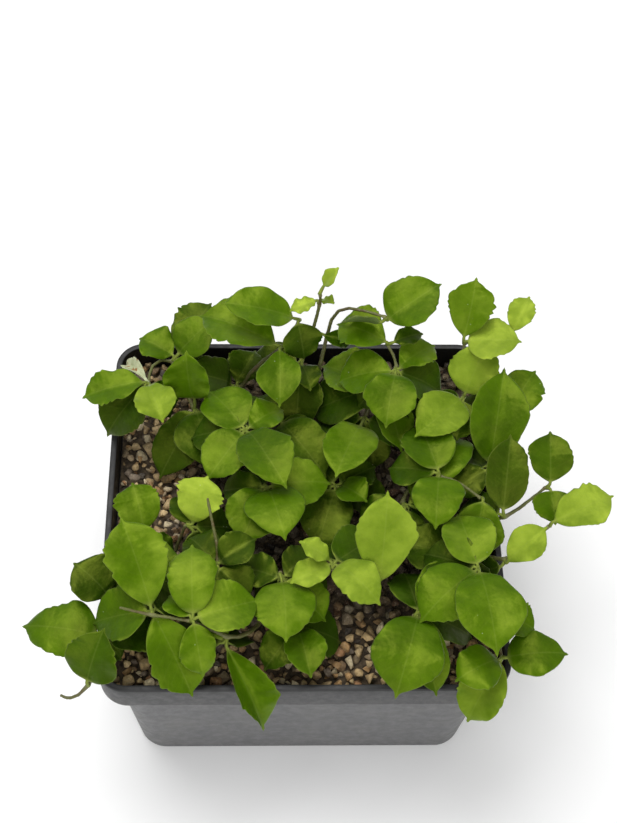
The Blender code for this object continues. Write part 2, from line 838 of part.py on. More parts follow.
def shade_leaves(node, seat, leaves, obstacles, most):
    """Lower leaves in the gaps between a node's planned ones, wherever a leaf hangs clear over the gravel."""
    most = min(most, MOST_LEAVES - len(leaves))
    found = []
    if node.place.z > POT_HEIGHT + SHADE_CEILING:
        return found
    blades = [blade_tree(each, seat) for each in leaves]
    for model in SHADE_LEAVES:
        for heading in SHADE_HEADINGS:
            each = model._replace(heading=heading)
            if (
                len(found) < most
                and tip_within(each, seat, SHADE_REACH)
                and all(further_apart(each, other, SHADE_APART) for other in leaves + found)
                and not touches(each, seat, obstacles)
                and not any(blade_tree(each, seat).overlap(tree) for tree in blades)
            ):
                found.append(each)
                blades.append(blade_tree(each, seat))
    return found


def lofts_of(leaves, seat):
    """One row of rings for each opposite pair, and one for each leaf that is left over."""
    rest = list(leaves)
    rows = []
    while rest:
        one = rest.pop(0)
        other = next((o for o in rest if further_apart(one, o, OPPOSITE_ANGLE)), None)
        if other:
            rest.remove(other)
            rows.append(pair_rings(one, other, seat))
        else:
            rows.append(leaf_rings(one, seat))
    return rows


def build_leaves(node, seat, leaves, surface):
    first = None
    for number, rings in enumerate(lofts_of(leaves, seat), 1):
        name = node.name if number == 1 else f"{node.name}_part_{number}"
        made = add_object(name, *loft(rings), surface)
        if first:
            boolean(first, made, "UNION")
        first = first or made


def main():
    clear_scene()
    plastic = material("pot_plastic", (0.165, 0.165, 0.170), 0.55)
    stones = material("gravel_stone", (0.330, 0.240, 0.150), 0.90)
    bark = material("stem_bark", (0.110, 0.110, 0.040), 0.65)
    tones = {name: material(f"leaf_{name}", colour, 0.42) for name, colour in TONES.items()}
    pot = build_pot(plastic)
    stems = []
    nodes = []
    sockets = []
    for name, (root, arms) in VINES.items():
        trees, found, socket = build_vine(name, root, arms, bark)
        stems += trees
        nodes += found
        sockets.append(socket)
    gravel = build_gravel(stones, sockets)
    fixed = [pot, gravel, *stems]
    trees = {}
    settled = []
    nodes.sort(key=lambda node: -node.place.z)
    for node in nodes:
        seat, leaves = settle(node, fixed + sum(trees.values(), []))
        trees[node.name] = [tree_of(*loft(leaf_rings(each, seat))) for each in leaves]
        settled.append((node, seat, leaves))
    shaded = 0
    for node, seat, leaves in settled:
        others = sum((trees[name] for name in trees if name != node.name), [])
        lower = shade_leaves(node, seat, leaves, fixed + others, MOST_SHADE_LEAVES - shaded)
        shaded += len(lower)
        trees[node.name] += [tree_of(*loft(leaf_rings(each, seat))) for each in lower]
        build_leaves(node, seat, leaves + lower, tones[leaves[0].tone])


main()
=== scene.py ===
"""The looks of the potted hoya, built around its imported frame.

Every leaf is read back from the frame: its seat on the stem, its tip, its breadth and how far it is bowed and
cupped. A fine leaf then grows in the same place. The stems are skinned from their own solids, the pot is
moulded again with its rounds and marks, and loose grains are dropped one by one on the gravel body.
Shapes are worked out in millimetres, and MM turns them into Blender's metres as each mesh is written.
"""

import json
import math
import random
from collections import namedtuple

import bmesh
import bpy
import numpy as np
from mathutils import Euler, Matrix, Vector, noise
from mathutils.bvhtree import BVHTree

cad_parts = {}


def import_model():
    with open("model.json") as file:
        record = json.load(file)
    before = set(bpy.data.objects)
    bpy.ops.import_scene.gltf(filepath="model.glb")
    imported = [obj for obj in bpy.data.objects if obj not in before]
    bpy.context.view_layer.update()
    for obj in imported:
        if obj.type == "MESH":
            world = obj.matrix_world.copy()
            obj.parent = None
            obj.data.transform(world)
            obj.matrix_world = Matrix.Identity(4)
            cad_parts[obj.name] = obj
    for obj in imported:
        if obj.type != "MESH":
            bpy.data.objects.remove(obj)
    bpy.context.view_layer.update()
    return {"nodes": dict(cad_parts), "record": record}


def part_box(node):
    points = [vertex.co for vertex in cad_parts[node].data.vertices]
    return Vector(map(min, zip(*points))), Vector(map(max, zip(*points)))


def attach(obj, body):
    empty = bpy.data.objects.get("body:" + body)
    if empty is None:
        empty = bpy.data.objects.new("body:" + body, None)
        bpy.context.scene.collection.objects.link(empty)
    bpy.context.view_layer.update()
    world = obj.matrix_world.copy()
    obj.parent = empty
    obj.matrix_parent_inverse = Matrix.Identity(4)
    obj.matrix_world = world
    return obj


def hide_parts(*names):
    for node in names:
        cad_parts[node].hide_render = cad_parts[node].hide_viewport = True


MM = 0.001
SEED = 11

# Frame. How a blade is recognised in a cluster: its tip is a ring of six points, and each cut across it is a
# hexagon with two margins and four shoulders.
TIP_LINKS = (0.32, 0.41)
TIP_SPANS = (0.600, 0.201, 0.0)
TIP_SLACK = 0.012
TIP_ROOM = 5.0
PLANE_SLACK = 0.06
EVEN_SLACK = 0.08
SHOULDER_SLACK = 0.03
STALKS = (2.4, 7.0, 8.0)
PLAIN_STATIONS = (0.14, 0.36, 0.58, 0.78, 0.92)
TOOTHED_STATIONS = (0.14, 0.36, 0.52, 0.60, 0.68, 0.76, 0.85)
NOTCHED_STATIONS = (0.60, 0.76)
NOTCH_SHARE = 0.87
SHOULDER = 0.45
SECTION_REACH = 0.72
LEAST_HALF = 0.25
SQUARE_ON = 0.995

# Leaves
BLADE_ROWS = 50
BLADE_COLUMNS = 12
STALK_ROWS = 6
STALK_RADIUS = 0.50
STALK_SHOWN = 0.6
BLADE_THICKNESS = 0.80
MARGIN_THICKNESS = 0.20
GROOVE_DEPTH = 0.16
GROOVE_WIDTH = 0.60
CUP_POWER = 1.5
PEAK_RANGE = (0.36, 0.66)
FULLNESS_RANGE = (0.48, 1.0)
TOOTH_DEPTHS = (0.17, 0.25)
SCALLOP_DEPTHS = (0.05, 0.09, 0.12, 0.15)
FOLDED_CUP = 0.7
FOLDED_WAVE = 1.7
FOLDED_TWIST = -0.40
BODY_END = 0.94
BODY_FALL = 2.0
BODY_ROUND = 0.78
# The deep tone is partly the colour of older leaves and partly painted shade on leaves low in the foliage.
DEEP_AGED_AND_SHADED, MATURE, LIGHT, YOUNG, WITHERED = 0.12, 0.50, 0.72, 0.92, -1.0
SLOT_TONES = {"leaf_deep": DEEP_AGED_AND_SHADED, "leaf_mature": MATURE, "leaf_young": YOUNG}
# Leaves that point down further than DROOP, and young leaves seated below YOUNG_CEILING that point down
# further than YOUNG_DROOP, take the deep tone as painted shade.
DROOP = -0.27
YOUNG_DROOP = -0.08
YOUNG_CEILING = 92.0  # Young leaves seated below this height fade to a deep tone sooner, at YOUNG_DROOP.
SAME_HEADING = 13.0
LAYER_STEP = 0.60
# Leaves whose tone isn't that of their cluster, or that hang low and yet don't take the painted shade of the
# deep tone, by heading in degrees.
ODD_LEAVES = {
    "leaves_back_5": ((-176, DEEP_AGED_AND_SHADED),),
    "leaves_back_6": ((176, DEEP_AGED_AND_SHADED), (62, DEEP_AGED_AND_SHADED)),
    "leaves_left_back_1": ((-76, DEEP_AGED_AND_SHADED),),
    "leaves_left_back_2": ((150, MATURE), (40, MATURE)),
    "leaves_left_back_3": ((-71, LIGHT), (125, WITHERED)),
    "leaves_right_back_3": ((-178, MATURE),),
    "leaves_right_back_4": ((18, DEEP_AGED_AND_SHADED),),
    "leaves_right_back_6": ((62, LIGHT), (-137, LIGHT)),
    "leaves_right_back_7": ((-8, LIGHT),),
    "leaves_right_2": ((-66, YOUNG),),
    "leaves_right_4": ((-86, MATURE),),
    "leaves_right_9": ((-104, MATURE),),
    "leaves_front_right_1": ((-36, MATURE),),
    "leaves_front_right_4": ((-124, LIGHT),),
    "leaves_front_right_5": ((-78, MATURE),),
    "leaves_centre_1": ((-108, MATURE),),
    "leaves_centre_2": ((84, LIGHT),),
    "leaves_centre_3": ((-42, MATURE),),
    "leaves_front_left_1": ((-40, MATURE),),
    "leaves_front_left_2": ((-128, DEEP_AGED_AND_SHADED),),
    "leaves_front_left_3": ((-60, MATURE), (102, MATURE)),
    "leaves_front_left_4": ((-78, MATURE),),
    "leaves_front_left_5": ((-61, MATURE), (-178, MATURE)),
    "leaves_left_6": ((-77, LIGHT),),
}

# Stems
SKIN_VOXEL = 0.26
SKIN_PASSES = 10
SKIN_OFFSET = -0.10
NODE_SWELL = 0.34
NODE_REACH = 1.3
BARK_RELIEF = 0.08

# Pot
LIP_WIDTH = 2.0
RIM_CORNER = 8.8
BAND_HEIGHT = 12.4
BAND_DRAFT = 0.4
SHOULDER_WIDTH = 112.4
BASE_WIDTH = 105.4
BASE_CORNER = 9.0
WALL = 1.5
FLOOR = 2.0
DRAIN_HOLE = 9.0
DRAIN_SPACING = 56.0
CORNER_STEPS = 14

# Gravel
GRAIN_COUNT = 3200
GRAIN_SHAPES = 24
GRAIN_RADII = (1.05, 2.8)
GRAIN_TRIES = 14
GRAIN_TOUCH = 0.80
GRAIN_ROOM = 0.85
GRAIN_SINK = 0.8
HEAP_HEIGHT = 3.4
GRAIN_TINTS = (
    (0.56, 0.41, 0.21), (0.66, 0.55, 0.35), (0.44, 0.31, 0.15), (0.46, 0.28, 0.12), (0.34, 0.18, 0.08),
    (0.26, 0.17, 0.09), (0.18, 0.14, 0.10), (0.12, 0.10, 0.08), (0.54, 0.38, 0.18), (0.32, 0.24, 0.14),
)
GRAIN_SHARES = (18, 13, 14, 12, 7, 9, 7, 5, 12, 8)
# Painted shade on the gravel: grains further in from the left and front walls than these distances are
# darkened, down to this share of their colour.
SHADE_REACH = (16.0, 30.0)
SHADED_SHARE = 0.22

# Camera
LENS = 63.2
AIM = (0.00224, 0.0338, 0.069)
DISTANCE = 0.4615
ELEVATION = 58.189
AZIMUTH = -2.717
ROLL = 2.369

# Table and lights. A softbox is its name, place in metres, side in metres and power in watts.
TABLE_REACH = 2000
SKY_STRENGTH = 0.46
SOFTBOXES = (
    ("softbox_top", (-0.22, 0.30, 1.15), 0.85, 11.0),
    ("softbox_front", (0.05, -1.00, 0.75), 1.2, 8.2),
)

Blade = namedtuple("Blade", "seat along across out length stalk toothed halves bows cups")


# ---------------------------------------------------------------- reading the frame


def points_of(node):
    """The node's distinct vertices, in millimetres."""
    mesh = node.data
    flat = np.empty(len(mesh.vertices) * 3)
    mesh.vertices.foreach_get("co", flat)
    points = flat.reshape(-1, 3) / MM
    _, first = np.unique(np.round(points, 3), axis=0, return_index=True)
    return points[np.sort(first)]


def tree_of(*nodes):
    """One search tree over the faces of these nodes, in millimetres."""
    points, faces = [], []
    for node in nodes:
        first = len(points)
        points += [v.co / MM for v in node.data.vertices]
        faces += [tuple(first + i for i in p.vertices) for p in node.data.polygons]
    return BVHTree.FromPolygons(points, faces)


def groups_of(points, link):
    """The points in groups, in which each is within the link of another."""
    near = np.linalg.norm(points[:, None] - points[None], axis=2) < link
    left = set(range(len(points)))
    while left:
        group = {left.pop()}
        edge = list(group)
        while edge:
            found = {j for j in np.flatnonzero(near[edge.pop()]) if j in left}
            left -= found
            group |= found
            edge += found
        yield points[sorted(group)]


def tips_of(points):
    """The tip of every blade in a cluster, each with the way it points."""
    tips = []
    for link in TIP_LINKS:
        for ring in groups_of(points, link):
            middle = ring.mean(axis=0)
            _, spans, axes = np.linalg.svd(ring - middle)
            if len(ring) != 6 or not np.allclose(spans, TIP_SPANS, atol=TIP_SLACK):
                continue
            if all(np.linalg.norm(middle - tip) > TIP_LINKS[-1] for tip, _ in tips):
                offset = points - middle
                around = offset[np.linalg.norm(offset, axis=1) < TIP_ROOM]
                tips.append((middle, axes[2] if (around @ axes[2]).mean() < 0 else -axes[2]))
    return tips


def seat_of(points, tips):
    """The place where the blades' straight lines meet or, with one blade, where the stalk ends."""
    if len(tips) == 1:
        tip, facing = tips[0]
        return tip - facing * ((tip - points) @ facing).max()
    squares = [np.eye(3) - np.outer(facing, facing) for _, facing in tips]
    target = sum(square @ tip for square, (tip, _) in zip(squares, tips))
    return np.linalg.solve(sum(squares), target)


def section(points, seat, along, height, reach):
    """The cluster's points that lie in the blade's own cross-section at this height."""
    offset = points - seat
    level = offset @ along
    flat = offset - np.outer(level, along)
    near = np.linalg.norm(flat, axis=1) < SECTION_REACH * reach
    return flat[(np.abs(level - height) < PLANE_SLACK) & near]


def hexagon(flat):
    """The blade's section among the points of a cut: half its breadth, its middle and its way across.

    The two margins lie evenly about the blade's middle line, and four shoulders lie between them.
    """
    best = None
    for i, left in enumerate(flat):
        for right in flat[i + 1:]:
            span = (left - right) / 2
            half = np.linalg.norm(span)
            middle = (left + right) / 2
            if half < LEAST_HALF or abs(middle @ span) > EVEN_SLACK * half:
                continue
            share = flat @ span / half**2
            shoulders = np.abs(np.abs(share) - SHOULDER) < SHOULDER_SLACK
            count = shoulders.sum()
            if count >= 3 and (best is None or (min(count, 4), half) > (best[0], best[1])):
                best = (min(count, 4), half, middle, span / half, flat[shoulders].mean(axis=0))
    return best


def read_blade(points, seat, tip):
    length = np.linalg.norm(tip - seat)
    along = (tip - seat) / length
    most = -1
    for stalk in STALKS:
        for stations in (PLAIN_STATIONS, TOOTHED_STATIONS):
            cuts = [section(points, seat, along, stalk + (length - stalk) * t, length) for t in stations]
            found = {t: cut for t, cut in zip(stations, map(hexagon, cuts)) if cut}
            share = len(found) / len(stations)
            if share > most + 0.05:
                most, fit = share, (stalk, stations, found)
    stalk, stations, found = fit
    across = max(found.values(), key=lambda cut: cut[1])[3]
    out = np.cross(along, across)
    if out[2] < 0:
        across, out = -across, -out
    halves, bows, cups = {}, {}, {}
    for t, (_, half, margins, way, flank) in found.items():
        if abs(way @ across) > SQUARE_ON:
            notched = stations is TOOTHED_STATIONS and t in NOTCHED_STATIONS
            halves[t] = half / (NOTCH_SHARE if notched else 1)
            bows[t] = flank @ out
            cups[t] = (margins - flank) @ out / half
    return Blade(seat, along, across, out, length, stalk, stations is TOOTHED_STATIONS, halves, bows, cups)


def read_cluster(node):
    """The cluster's blades, in order of their heading."""
    points = points_of(node)
    tips = tips_of(points)
    seat = seat_of(points, tips)
    blades = [read_blade(points, seat, tip) for tip, _ in tips]
    return sorted(blades, key=lambda blade: math.atan2(blade.along[1], blade.along[0]))


# ---------------------------------------------------------------- meshes and materials


def add_mesh(name, points, faces, materials, face_materials=None, layers=None, colours=None):
    """A smooth-shaded mesh object from points in millimetres, with its named point layers."""
    mesh = bpy.data.meshes.new(name)
    mesh.from_pydata([tuple(p) for p in np.asarray(points) * MM], [], faces)
    for layer, values in (layers or {}).items():
        data = mesh.attributes.new(layer, "FLOAT", "POINT").data
        data.foreach_set("value", np.asarray(values, np.float32))
    if colours is not None:
        flat = np.asarray(colours, np.float32).ravel()
        mesh.attributes.new("tint", "FLOAT_COLOR", "POINT").data.foreach_set("color", flat)
    for surface in materials:
        mesh.materials.append(surface)
    if face_materials is not None:
        mesh.polygons.foreach_set("material_index", face_materials)
    mesh.shade_smooth()
    mesh.update()
    made = bpy.data.objects.new(name, mesh)
    bpy.context.scene.collection.objects.link(made)
    return made


class Surface:
    """A Principled material and the nodes that feed it."""

    def __init__(self, name, roughness, **settings):
        self.material = bpy.data.materials.new(name)
        self.material.use_nodes = True
        self.tree = self.material.node_tree
        self.shader = self.tree.nodes["Principled BSDF"]
        self.shader.inputs["Roughness"].default_value = roughness
        for socket, value in settings.items():
            self.shader.inputs[socket.replace("_", " ")].default_value = value
        self.place = self.tree.nodes.new("ShaderNodeTexCoord").outputs["Object"]

    def feed(self, socket, value):
        if isinstance(value, (int, float)):
            socket.default_value = value
        elif isinstance(value, tuple):
            socket.default_value = (*value, 1.0)
        else:
            self.tree.links.new(value, socket)

    def layer(self, name):
        node = self.tree.nodes.new("ShaderNodeAttribute")
        node.attribute_name = name
        return node.outputs["Fac"]

    def tint(self):
        node = self.tree.nodes.new("ShaderNodeAttribute")
        node.attribute_name = "tint"
        return node.outputs["Color"]

    def noise(self, size, detail=4.0, roughness=0.55):
        """Noise with features of about this size in millimetres."""
        node = self.tree.nodes.new("ShaderNodeTexNoise")
        node.inputs["Scale"].default_value = 1 / (size * MM)
        node.inputs["Detail"].default_value = detail
        node.inputs["Roughness"].default_value = roughness
        self.tree.links.new(self.place, node.inputs["Vector"])
        return node.outputs["Fac"]

    def cells(self, size):
        """Distance to the nearest of points about this far apart, in millimetres."""
        node = self.tree.nodes.new("ShaderNodeTexVoronoi")
        node.inputs["Scale"].default_value = 1 / (size * MM)
        self.tree.links.new(self.place, node.inputs["Vector"])
        return node.outputs["Distance"]

    def calc(self, operation, one, other=0.0):
        node = self.tree.nodes.new("ShaderNodeMath")
        node.operation = operation
        self.feed(node.inputs[0], one)
        self.feed(node.inputs[1], other)
        return node.outputs["Value"]

    def spread(self, value, low, high, to_low=0.0, to_high=1.0):
        node = self.tree.nodes.new("ShaderNodeMapRange")
        node.interpolation_type = "SMOOTHSTEP"
        for socket, each in zip(("Value", "From Min", "From Max", "To Min", "To Max"),
                                (value, low, high, to_low, to_high)):
            self.feed(node.inputs[socket], each)
        return node.outputs["Result"]

    def ramp(self, value, *stops):
        node = self.tree.nodes.new("ShaderNodeValToRGB")
        band = node.color_ramp
        while len(band.elements) < len(stops):
            band.elements.new(0.5)
        for element, (place, colour) in zip(band.elements, stops):
            element.position = place
            element.color = (*colour, 1.0)
        self.feed(node.inputs["Fac"], value)
        return node.outputs["Color"]

    def mix(self, share, one, other, blend="MIX"):
        node = self.tree.nodes.new("ShaderNodeMix")
        node.data_type = "RGBA"
        node.blend_type = blend
        self.feed(node.inputs["Factor"], share)
        self.feed(node.inputs[6], one)
        self.feed(node.inputs[7], other)
        return node.outputs[2]

    def colour(self, value):
        self.feed(self.shader.inputs["Base Color"], value)

    def roughness(self, value):
        self.feed(self.shader.inputs["Roughness"], value)

    def relief(self, height, depth, strength=1.0):
        """Bump of this depth in millimetres."""
        node = self.tree.nodes.new("ShaderNodeBump")
        node.inputs["Strength"].default_value = strength
        node.inputs["Distance"].default_value = depth * MM
        self.feed(node.inputs["Height"], height)
        self.tree.links.new(node.outputs["Normal"], self.shader.inputs["Normal"])


def leaf_surface():
    s = Surface("leaf", 0.42, Subsurface_Weight=0.05, Subsurface_Scale=0.0012, Specular_IOR_Level=0.46)
    s.shader.inputs["Subsurface Radius"].default_value = (0.7, 1.0, 0.1)
    s.shader.inputs["Specular Tint"].default_value = (0.88, 1.0, 0.12, 1.0)
    # The tone layer's dark end holds the painted shade of low hanging leaves as well as the colour of older
    # leaves.
    tone = s.calc("ADD", s.layer("tone"), s.spread(s.noise(12), 0.3, 0.7, -0.10, 0.10))
    flesh = s.ramp(tone, (0.0, (0.014, 0.036, 0.001)), (0.28, (0.028, 0.071, 0.001)),
                   (0.55, (0.058, 0.126, 0.001)), (1.0, (0.270, 0.365, 0.035)))
    patches = s.spread(s.noise(3.4, 5), 0.36, 0.70)
    flesh = s.mix(patches, flesh, (0.80, 0.84, 0.76), "MULTIPLY")
    vein = s.calc("ABSOLUTE", s.calc("SUBTRACT", s.calc("FRACT", s.layer("vein")), 0.5))
    veins = s.spread(vein, 0.0, 0.09, 1.0, 0.0)
    midrib = s.spread(s.layer("from_midrib"), 0.08, 0.42, 1.0, 0.0)
    paler = s.mix(0.55, flesh, (0.26, 0.32, 0.07))
    flesh = s.mix(s.calc("MULTIPLY", veins, 0.05), flesh, paler)
    flesh = s.mix(s.calc("MULTIPLY", midrib, 0.16), flesh, paler)
    margin = s.spread(s.layer("from_margin"), 0.02, 0.40, 1.0, 0.0)
    flesh = s.mix(s.calc("MULTIPLY", margin, 0.14), flesh, (0.20, 0.22, 0.03))
    under = s.mix(0.55, flesh, (0.16, 0.21, 0.075))
    flesh = s.mix(s.layer("upper"), under, flesh)
    flesh = s.mix(s.layer("stalk"), flesh, (0.15, 0.19, 0.035))
    speck = s.spread(s.cells(2.6), 0.04, 0.08, 1.0, 0.0)
    rare = s.spread(s.noise(22, 2), 0.56, 0.66)
    s.colour(s.mix(s.calc("MULTIPLY", s.calc("MULTIPLY", speck, rare), 0.65), flesh, (0.45, 0.50, 0.34)))
    s.roughness(s.spread(s.noise(4, 6), 0.3, 0.7, 0.31, 0.45))
    s.relief(s.calc("ADD", s.calc("MULTIPLY", s.noise(0.6, 3), 0.10), s.noise(4.4, 2)), 0.42, 0.8)
    return s.material


def withered_surface():
    s = Surface("withered_bract", 0.75)
    paper = s.ramp(s.noise(2.5, 5), (0.3, (0.36, 0.40, 0.22)), (0.7, (0.55, 0.58, 0.38)))
    spots = s.spread(s.noise(2.0, 4), 0.55, 0.66)
    s.colour(s.mix(spots, paper, (0.26, 0.12, 0.03)))
    s.relief(s.noise(0.8, 5), 0.25)
    return s.material


def stem_surface():
    s = Surface("stem", 0.55, Subsurface_Weight=0.03, Subsurface_Scale=0.001)
    young = s.spread(s.layer("rise"), 0.0, 1.0)
    skin = s.mix(young, (0.062, 0.056, 0.018), (0.105, 0.115, 0.024))
    skin = s.mix(s.spread(s.noise(5, 4), 0.48, 0.68, 0.0, 0.60), skin, (0.085, 0.036, 0.016))
    skin = s.mix(s.spread(s.noise(1.1, 3), 0.60, 0.70, 0.0, 0.4), skin, (0.22, 0.20, 0.11))
    skin = s.mix(s.calc("MULTIPLY", s.layer("joint"), 0.45), skin, (0.26, 0.25, 0.11))
    s.colour(skin)
    s.roughness(s.spread(s.noise(2, 4), 0.3, 0.7, 0.42, 0.68))
    s.relief(s.calc("ADD", s.noise(0.5, 4), s.noise(1.6, 3)), 0.18)
    return s.material


def pot_surface():
    s = Surface("pot_plastic", 0.45, Specular_IOR_Level=0.35)
    dust = s.spread(s.noise(11, 9, 0.72), 0.40, 0.76)
    body = s.mix(dust, (0.106, 0.106, 0.108), (0.132, 0.131, 0.127))
    body = s.mix(s.spread(s.noise(1.2, 5), 0.60, 0.74, 0.0, 0.22), body, (0.24, 0.235, 0.22))
    body = s.mix(s.spread(s.cells(7.5), 0.015, 0.04, 0.30, 0.0), body, (0.27, 0.25, 0.22))
    body = s.mix(s.spread(s.cells(11), 0.02, 0.06, 0.35, 0.0), body, (0.06, 0.055, 0.05))
    # Painted shade: the shade layer mixes the plastic toward near black, darkest inside the pot, dark on the
    # lip, darker over the band and at the foot.
    s.colour(s.mix(s.layer("shade"), body, (0.007, 0.007, 0.007)))
    s.roughness(s.spread(s.noise(3, 7, 0.65), 0.3, 0.72, 0.40, 0.62))
    s.relief(s.calc("ADD", s.noise(0.35, 3), s.calc("MULTIPLY", s.noise(2.2, 5), 0.7)), 0.05, 0.5)
    return s.material


def grain_surface():
    s = Surface("gravel_grain", 0.85)
    stone = s.mix(s.spread(s.noise(1.1, 5), 0.30, 0.72, 0.0, 0.5), s.tint(), (0.10, 0.075, 0.05), "MULTIPLY")
    stone = s.mix(s.spread(s.noise(0.5, 4), 0.52, 0.75, 0.0, 0.35), stone, (0.60, 0.52, 0.40), "SCREEN")
    s.colour(stone)
    s.roughness(s.spread(s.noise(0.9, 3), 0.3, 0.7, 0.72, 0.95))
    s.relief(s.calc("ADD", s.noise(0.35, 5, 0.7), s.noise(1.3, 3)), 0.30)
    return s.material


def bed_surface():
    s = Surface("gravel_bed", 0.95)
    s.colour(s.ramp(s.noise(1.6, 6), (0.35, (0.030, 0.023, 0.015)), (0.70, (0.160, 0.115, 0.068))))
    s.relief(s.noise(1.5, 6, 0.7), 0.6)
    return s.material


def floor_surface():
    s = Surface("table", 0.55)
    s.colour(s.ramp(s.noise(90, 5), (0.3, (0.90, 0.90, 0.90)), (0.7, (0.92, 0.92, 0.92))))
    s.relief(s.noise(1.2, 4), 0.02, 0.3)
    return s.material


# ---------------------------------------------------------------- leaves


def cup_of(blade):
    """How far the blade's margins rise, as a share of its half-breadth."""
    return np.median(list(blade.cups.values())) / (1 - SHOULDER**CUP_POWER)


def folded(blade):
    return cup_of(blade) > FOLDED_CUP


def outline_of(blade, rng):
    """The blade's half-breadth on its two sides, with its teeth, at each row of a blade."""
    broad = max(blade.halves.values())
    inner = {t: half for t, half in blade.halves.items() if t < 0.9}
    weights = {t: half**4 for t, half in inner.items()}
    peak = sum(t * w for t, w in weights.items()) / sum(weights.values())
    peak = min(max(peak + rng.uniform(-0.03, 0.03), PEAK_RANGE[0]), PEAK_RANGE[1])
    fullness = 0.66
    first = min(inner)
    if first < 0.2:
        share = first / peak
        fullness = math.log(inner[first] / broad) / math.log(share * (2 - share))
    fullness = min(max(fullness, FULLNESS_RANGE[0]), FULLNESS_RANGE[1])
    rows = 1 - (1 - np.linspace(0, 1, BLADE_ROWS)) ** 1.12
    rise = np.clip(rows / peak, 0, 1)
    fall = np.clip((rows - peak) / (BODY_END - peak), 0, 1)
    body = np.where(rows < peak, (rise * (2 - rise)) ** fullness, (1 - fall**BODY_FALL) ** BODY_ROUND)
    spur = (0.075 * broad + 0.10) * np.clip((1 - rows) / (1 - BODY_END), 0, 3) ** 1.15
    base = np.maximum(broad * body, np.where(rows > peak, np.minimum(spur, 0.36 * broad), 0.0))
    base = np.maximum(base, 0.46)
    base[-1] = 0.06
    base[-2] = 0.16
    ragged = blade.toothed or folded(blade)
    depth = rng.uniform(*TOOTH_DEPTHS) if ragged else rng.choice(SCALLOP_DEPTHS)
    sides = []
    for side in (1, -1):
        count = rng.uniform(6.5, 8.5) if blade.toothed else rng.uniform(5.0, 8.5)
        beat = rows * count + 0.35 * np.sin(rows * rng.uniform(9, 15) + rng.uniform(0, 6)) + 1
        part = np.modf(beat)[0]
        size = np.array([rng.uniform(0.15, 1.0) for _ in range(14)])[beat.astype(int)]
        saw = np.where(part < 0.70, part / 0.70, (1 - part) / 0.30) ** 0.9
        belt = np.clip((rows - 0.28) / 0.20, 0, 1) * np.clip((BODY_END - rows) / 0.08, 0, 1)
        swing = sum(
            rng.uniform(-0.07, 0.07) * np.sin(beats * math.pi * rows + rng.uniform(0, 6))
            for beats in (1, 2, 3)
        ) * np.minimum(1, rows * 6)
        sides.append(base * (1 + swing) * (1 + depth * size * (saw - 0.62) * belt))
    return rows, sides


def stalk_path(blade, foot):
    """From inside the stem, past the leaf's seat, to the foot of the blade."""
    end = blade.seat + blade.along * blade.stalk * STALK_SHOWN
    shares = np.linspace(0, 1, STALK_ROWS + 1)[:-1, None]
    bend = blade.seat + blade.along * 0.15 * blade.stalk
    return foot * (1 - shares) ** 2 + bend * 2 * shares * (1 - shares) + end * shares**2


